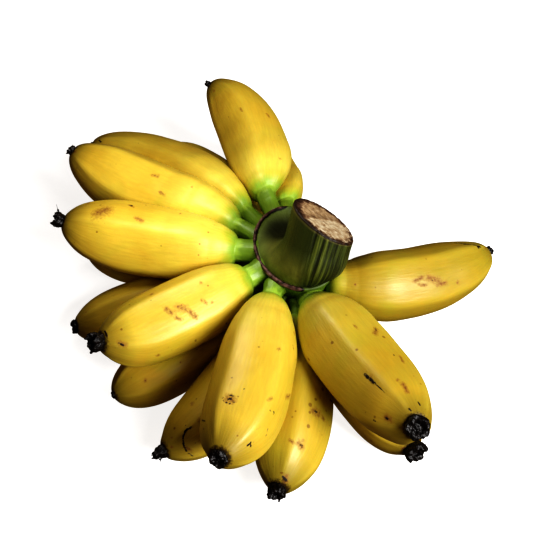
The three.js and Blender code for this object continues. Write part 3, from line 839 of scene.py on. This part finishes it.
BAND_PIXELS = ((309, 218), (339, 222))  # the saw was turned over here, which left a step across the face
BAND_STEP = 0.3 * MM
BAND_SLOPE = (-0.3 * MM, 0.5 * MM)
SHADOW_PIXEL = (283, 232)  # a painted shadow darkens the pad and the stalk nearly black around here
SHADOW_REACH = (5 * MM, 13 * MM)
EDGE_DARKENING = 0.75  # how dark the rim is where it has no ridge
EDGE_DARKENING_ZONE = 2.75
EDGE_DARKENING_WIDTH = 0.45  # in zones
CUT_LEAN = 1.7  # millimetres that the dried edge is wider low on the left than elsewhere
points = read(crown_mesh, "co", 3)
zones = read(crown_mesh, "zone", 1)
from_foot = points - np.array(STALK_FOOT)
height = from_foot @ np.array(STALK_LEAN)
radial = from_foot - height[:, None] * np.array(STALK_LEAN)
from_axis = np.linalg.norm(radial, axis=1)
radial /= from_axis[:, None] + 1e-9
grain_place = radial * (STALK_RADIUS / FIBRE_GAP)
grain_place += height[:, None] * np.array(STALK_LEAN) / FIBRE_RUN
fibre = noise_at(grain_place, 1) + 0.5 * noise_at(grain_place, 0.4, 2)
on_face = smoothstep(FACE_ZONE, FACE_ZONE + 0.03, zones)
on_stalk = 1 - smoothstep(*FIBRED_RADIUS, from_axis)
on_stalk *= smoothstep(*FIBRED_ZONES, zones) * (1 - smoothstep(FACE_ZONE, FACE_ZONE + 0.02, zones))
on_right = smoothstep(*RIGHT_SIDE, radial @ np.array(camera_right))
curl = np.exp(-((FACE_ZONE + 1 - zones - CURL_SHARE) / CURL_WIDTH) ** 2) * on_face
from_crown = points - np.array(CROWN_CENTRE)
bearing = np.arctan2(from_crown[:, 1], from_crown[:, 0]) % (2 * math.pi)
bract = smoothstep(BRACT_FROM - BRACT_FADE, BRACT_FROM + BRACT_FADE, bearing)
bract *= 1 - smoothstep(BRACT_TO - BRACT_FADE, BRACT_TO + BRACT_FADE, bearing)
on_rim = np.exp(-((zones - RIM_ZONE) / RIM_WIDTH) ** 2) * bract
cork = noise_at(points, CORK_LUMPS[0], 3) + 0.8 * noise_at(points, CORK_LUMPS[1], 4)


def on_sawn_plane(pixel):
    """The point of the sawn face's plane that a pixel of the photograph shows."""
    ray = line_of_sight(pixel)
    return camera_at + ray * ((sawn_middle - camera_at).dot(SAWN_NORMAL) / ray.dot(SAWN_NORMAL))


band_start, band_end = [on_sawn_plane(pixel) for pixel in BAND_PIXELS]
band_across = SAWN_NORMAL.cross(band_end - band_start).normalized()
above_band = (points - np.array(band_start)) @ np.array(band_across)
rise = FIBRE_DEPTH * fibre * on_stalk * (FIBRE_LEFT + (1 - FIBRE_LEFT) * on_right)
rise += (CURL_HEIGHT * curl + FACE_GRIT * noise_at(points, FACE_GRIT_SIZE, 5)) * on_face
rise += BAND_STEP * smoothstep(*BAND_SLOPE, above_band) * on_face * (1 - curl)
rise += (RIM_HEIGHT + RIM_CORK * cork) * on_rim
rise += PAD_LUMP * noise_at(points, PAD_LUMP_SIZE, 6) * (1 - on_stalk) * (1 - on_face)
moved = points + read(crown_mesh, "normal", 3) * rise[:, None]
crown_mesh.vertices.foreach_set("co", moved.ravel())
from_edge = np.where(zones > FACE_ZONE, (zones - FACE_ZONE) * STALK_RADIUS / MM, 0)
# Painted shadow: the pad and the stalk are darkened nearly black around a point beside the stalk. The rim is
# darker too where it has no ridge.
shadow_ray = line_of_sight(SHADOW_PIXEL)
shadow_middle = camera_at + shadow_ray * ((CROWN_CENTRE - camera_at).z / shadow_ray.z)
darkened = 1 - smoothstep(*SHADOW_REACH, np.linalg.norm(points - np.array(shadow_middle), axis=1))
along_edge = np.exp(-((zones - EDGE_DARKENING_ZONE) / EDGE_DARKENING_WIDTH) ** 2)
darkened = np.maximum(darkened, EDGE_DARKENING * (1 - bract) * along_edge)
low_left = radial @ np.array(-camera_up * 0.7 - camera_right * 0.7)
store(crown_mesh, "rim", on_rim)
store(crown_mesh, "stalk", on_stalk * np.maximum(on_right, smoothstep(*SMOOTH_PAD_ZONES, zones)))
store(crown_mesh, "striped", on_stalk * on_right)
store(crown_mesh, "darkened", darkened * (1 - on_face))
store(crown_mesh, "from_edge", from_edge - CUT_LEAN * low_left)
store(crown_mesh, "above_band", above_band / MM)
grain = crown_mesh.attributes.new("grain", "FLOAT_VECTOR", "POINT")
grain.data.foreach_set("vector", grain_place.ravel())
crown_mesh.shade_smooth()

SHADE_SIZE = 8.333 * MM
PITH_SIZE = 2.381 * MM
CORK_SIZE = 2.381 * MM
crown_material, tree, shader = new_material("banana_crown")
place = add(tree, "TexCoord", {}).outputs["Object"]
zone, rim, stalk, from_edge, above_band, striped, darkened = [
    add(tree, "Attribute", {}, attribute_name=name).outputs["Fac"]
    for name in ("zone", "rim", "stalk", "from_edge", "above_band", "striped", "darkened")
]
grain = add(tree, "Attribute", {}, attribute_name="grain").outputs["Vector"]

# The pad and the stalk's wall: olive green, streaked along the fibres on the stalk's right and plain dark on
# its left, partly as painted shade, and nearly black with painted shadow beside the stalk.
zone_share = add(tree, "Math", {0: zone, 1: FACE_ZONE}, operation="DIVIDE").outputs[0]
zone_colour = add(tree, "ValToRGB", {"Fac": zone_share}, stops=(
    (0.0, srgb(0x6E5C34)), (1.0, srgb(0x4C5420)), (0.1, srgb(0x6C8430)), (0.4, srgb(0x7C9A38)),
    (0.5, srgb(0x7C9A38)), (0.6, srgb(0x788842)), (0.68, srgb(0x7C7E42)), (0.8, srgb(0x6C7034)),
)).outputs["Color"]
shade_noise = add(tree, "TexNoise", {"Vector": place, "Scale": 1 / SHADE_SIZE, "Detail": 4}).outputs["Fac"]
shade_share = add(tree, "MapRange", {"Value": shade_noise, "From Min": 0.4, "From Max": 0.7,
                                     "To Min": 0, "To Max": 0.5}).outputs[0]
pad_colour = add(tree, "MixRGB", {"Fac": shade_share, "Color1": zone_colour,
                                  "Color2": srgb(0x464C1E)}).outputs[0]
streak = add(tree, "TexNoise", {"Vector": grain, "Scale": 1.1, "Detail": 5,
                                "Roughness": 0.62}).outputs["Fac"]
streak_colour = add(tree, "ValToRGB", {"Fac": streak}, stops=(
    (0.38, srgb(0x10140A)), (0.72, srgb(0x767C3C)), (0.47, srgb(0x262C12)), (0.57, srgb(0x4A5422)),
)).outputs["Color"]
# The stalk's wall is plain dark green on its left, partly as painted shade, and striped with lighter fibres
# only on its right.
plain_wall = add(tree, "MixRGB", {"Fac": stalk, "Color1": pad_colour, "Color2": srgb(0x3A421A)}).outputs[0]
striped_wall = add(tree, "MixRGB", {"Fac": striped, "Color1": plain_wall, "Color2": streak_colour}).outputs[0]
under_cut = add(tree, "ValToRGB", {"Fac": zone_share}, stops=(
    (0.972, (0, 0, 0, 1)), (0.996, (0, 0, 0, 1)),
    (0.984, (0.22, 0.22, 0.22, 1)), (0.99, (0.22, 0.22, 0.22, 1)),
)).outputs["Color"]
cut_lip = add(tree, "MixRGB", {"Fac": under_cut, "Color1": striped_wall, "Color2": srgb(0x9C8C58)}).outputs[0]
# The painted shadow beside the stalk, and the darker rim where it has no ridge.
darkened_share = add(tree, "Math", {0: darkened, 1: 0.88}, operation="MULTIPLY").outputs[0]
walled = add(tree, "MixRGB", {"Fac": darkened_share, "Color1": cut_lip, "Color2": srgb(0x181C0C)}).outputs[0]

# The sawn face: dry pith in two tones either side of the saw's step, inside a dark ragged edge.
blotch = add(tree, "TexNoise", {"Vector": place, "Scale": 1 / PITH_SIZE, "Detail": 5,
                                "Roughness": 0.65}).outputs["Fac"]
band_share = add(tree, "MapRange", {"Value": above_band, "From Min": -0.4, "From Max": 0.3}).outputs[0]
band_fade = add(tree, "MapRange", {"Value": above_band, "From Min": 0.3, "From Max": 4,
                                   "To Min": 1, "To Max": 0}).outputs[0]
low_pith = add(tree, "ValToRGB", {"Fac": blotch}, stops=(
    (0.32, srgb(0x8C7050)), (0.7, srgb(0xD2C8B2)), (0.44, srgb(0xB09A7C)), (0.56, srgb(0xC6B698)),
)).outputs["Color"]
high_pith = add(tree, "ValToRGB", {"Fac": blotch}, stops=(
    (0.32, srgb(0x705640)), (0.7, srgb(0xC6B094)), (0.44, srgb(0x9C8262)), (0.56, srgb(0xB29A78)),
)).outputs["Color"]
pith = add(tree, "MixRGB", {"Fac": band_share, "Color1": low_pith, "Color2": high_pith}).outputs[0]
line_share = add(tree, "Math", {0: band_share, 1: band_fade}, operation="MULTIPLY").outputs[0]
line_faint = add(tree, "Math", {0: line_share, 1: 0.45}, operation="MULTIPLY").outputs[0]
banded = add(tree, "MixRGB", {"Fac": line_faint, "Color1": pith, "Color2": srgb(0x543A20)}).outputs[0]
ragged = add(tree, "MapRange", {"Value": blotch, "From Min": 0.3, "From Max": 0.7,
                                "To Min": -1.6, "To Max": 1.6}).outputs[0]
edge_field = add(tree, "Math", {0: from_edge, 1: ragged}, operation="ADD").outputs[0]
edge_share = add(tree, "MapRange", {"Value": edge_field, "From Min": 0, "From Max": 4}).outputs[0]
dried_colour = add(tree, "ValToRGB", {"Fac": edge_share}, stops=(
    (0.0, srgb(0x2C1E14)), (1.0, srgb(0x967858)), (0.35, srgb(0x483224)), (0.62, srgb(0x6E543E)),
)).outputs["Color"]
cut_inside = add(tree, "MapRange", {"Value": edge_share, "From Min": 0.55, "From Max": 1}).outputs[0]
sawn = add(tree, "MixRGB", {"Fac": cut_inside, "Color1": dried_colour, "Color2": banded}).outputs[0]
on_cut = add(tree, "MapRange", {"Value": zone, "From Min": 4.965, "From Max": 4.99}).outputs[0]
sawn_over = add(tree, "MixRGB", {"Fac": on_cut, "Color1": walled, "Color2": sawn}).outputs[0]

# The rim ridge: brown cork, darkest where it meets the green.
cork_noise = add(tree, "TexNoise", {"Vector": place, "Scale": 1 / CORK_SIZE, "Detail": 5}).outputs["Fac"]
cork_colour = add(tree, "ValToRGB", {"Fac": cork_noise}, stops=(
    (0.35, srgb(0x30201A)), (0.7, srgb(0x8E6C64)), (0.5, srgb(0x60443C)),
)).outputs["Color"]
cork_waver = add(tree, "Math", {0: cork_noise, 1: 0.35}, operation="MULTIPLY").outputs[0]
cork_field = add(tree, "Math", {0: rim, 1: cork_waver}, operation="ADD").outputs[0]
cork_mask = add(tree, "MapRange", {"Value": cork_field, "From Min": 0.5, "From Max": 0.66}).outputs[0]
cork_inside = add(tree, "MapRange", {"Value": cork_field, "From Min": 0.8, "From Max": 1.1}).outputs[0]
cork_shaded = add(tree, "MixRGB", {"Fac": cork_inside, "Color1": srgb(0x1C100C),
                                   "Color2": cork_colour}).outputs[0]
corked = add(tree, "MixRGB", {"Fac": cork_mask, "Color1": sawn_over, "Color2": cork_shaded}).outputs[0]
tree.links.new(corked, shader.inputs["Base Color"])
streak_bump = add(tree, "Bump", {"Height": streak, "Strength": 0.4, "Distance": 0.6 * MM}).outputs[0]
rough_bump = add(tree, "Bump", {"Height": blotch, "Strength": 0.35, "Distance": 0.6 * MM,
                                "Normal": streak_bump}).outputs[0]
tree.links.new(rough_bump, shader.inputs["Normal"])
shader.inputs["Roughness"].default_value = 0.5

crown_mesh.materials.clear()
crown_mesh.materials.append(crown_material)
crown = bpy.data.objects.new("crown_and_stalk", crown_mesh)
bpy.context.scene.collection.objects.link(crown)
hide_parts("crown")
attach(crown, "root")


# A pale tabletop, lit from within a little as a light table is, which keeps the shadows on it faint. Its
# light doesn't reach the fruit. The hand is lit by a soft panel at the front right and a small weak one close
# above the left of the crown, and by weak warm light from all round. The picture is shown at high contrast.
FLOOR_SIZE = 4
FLOOR_GLOW = 0.5
WORLD_LIGHT = 0.08
WORLD_TINT = srgb(0xFFDCB4)
bm = bmesh.new()
bmesh.ops.create_grid(bm, x_segments=1, y_segments=1, size=FLOOR_SIZE / 2)
floor_mesh = bpy.data.meshes.new("floor")
bm.to_mesh(floor_mesh)
bm.free()
floor = bpy.data.objects.new("floor", floor_mesh)
bpy.context.scene.collection.objects.link(floor)
floor_paint, _, floor_shader = new_material("matt_white_laminate")  # with no gloss to mirror the fruit
floor_shader.inputs["Base Color"].default_value = srgb(0xC8C8C8)
floor_shader.inputs["Roughness"].default_value = 0.9
floor_shader.inputs["Emission Color"].default_value = (1, 1, 1, 1)
floor_shader.inputs["Emission Strength"].default_value = FLOOR_GLOW
floor.visible_diffuse = False
floor.visible_glossy = False
floor_mesh.materials.append(floor_paint)

world = bpy.data.worlds.new("studio")
world.use_nodes = True
world.node_tree.nodes["Background"].inputs["Color"].default_value = WORLD_TINT
world.node_tree.nodes["Background"].inputs["Strength"].default_value = WORLD_LIGHT
bpy.context.scene.world = world
bpy.context.scene.view_settings.view_transform = "Standard"
bpy.context.scene.view_settings.look = "Very High Contrast"


def soft_light(name, place, size, power):
    """A square light panel that faces the hand, with its size in metres and its power in watts."""
    lamp = bpy.data.lights.new(name, "AREA")
    lamp.energy = power
    lamp.size = size
    obj = bpy.data.objects.new(name, lamp)
    obj.location = place
    obj.rotation_euler = (AIM - Vector(place)).to_track_quat("-Z", "Y").to_euler()
    obj.visible_camera = False
    bpy.context.scene.collection.objects.link(obj)


soft_light("right_panel", (0.6, -0.56, 0.64), 0.4, 10)
soft_light("crown_panel", (-0.045, 0.01, 0.145), 0.06, 0.055)
